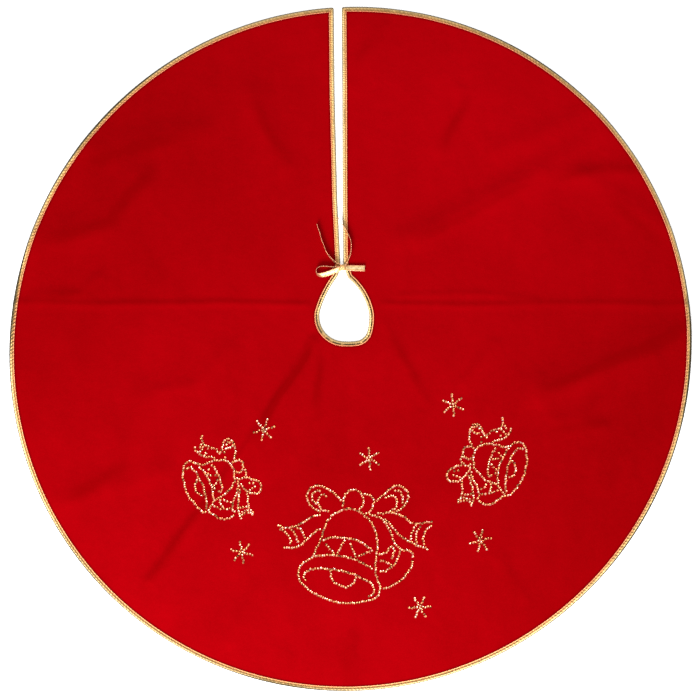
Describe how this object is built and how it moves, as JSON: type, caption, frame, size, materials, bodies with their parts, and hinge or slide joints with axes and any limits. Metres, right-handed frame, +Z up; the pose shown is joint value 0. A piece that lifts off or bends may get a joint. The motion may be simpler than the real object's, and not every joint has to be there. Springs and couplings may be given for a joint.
{
  "type": "tree skirt",
  "caption": "Round velvet tree skirt with a lining, metallic tape binding, a back slit tied by a ribbon bow, and bells and snowflakes in sewn sequins.",
  "frame": {"origin": "middle of the hem's outline, on the surface that the skirt lies on", "axes": "+Z up out of the velvet; +Y from the middle towards the open end of the slit (back); -Y towards the largest bells (front); +X to the right seen from above"},
  "size_m": [1.2182, 1.2217, 0.0121],
  "materials": {
    "velvet": "short-pile red velvet",
    "lining": "thin woven polyester lining",
    "backing": "stiff non-woven embroidery backing",
    "binding_tape": "ribbed metallic gold tape",
    "ribbon": "metallic gold ribbon",
    "sequins": "gold cup sequins"
  },
  "bodies": {
    "root": {"backing_front": "backing", "backing_left": "backing", "backing_right": "backing", "backing_snowflakes": "backing", "bow_knot": "ribbon", "bow_loop_left": "ribbon", "bow_loop_right": "ribbon", "hem_binding": "binding_tape", "lining": "lining", "neck_binding": "binding_tape", "sequins_front_bow": "sequins", "sequins_front_front_bell": "sequins", "sequins_front_rear_bell": "sequins", "sequins_left_bow": "sequins", "sequins_left_front_bell": "sequins", "sequins_left_rear_bell": "sequins", "sequins_right_bow": "sequins", "sequins_right_front_bell": "sequins", "sequins_right_rear_bell": "sequins", "sequins_snowflake_1": "sequins", "sequins_snowflake_2": "sequins", "sequins_snowflake_3": "sequins", "sequins_snowflake_4": "sequins", "sequins_snowflake_5": "sequins", "sequins_snowflake_6": "sequins", "slit_binding_left": "binding_tape", "slit_binding_right": "binding_tape", "tie_tail_left": "ribbon", "tie_tail_right": "ribbon", "velvet_face": "velvet"}
  },
  "joints": []
}
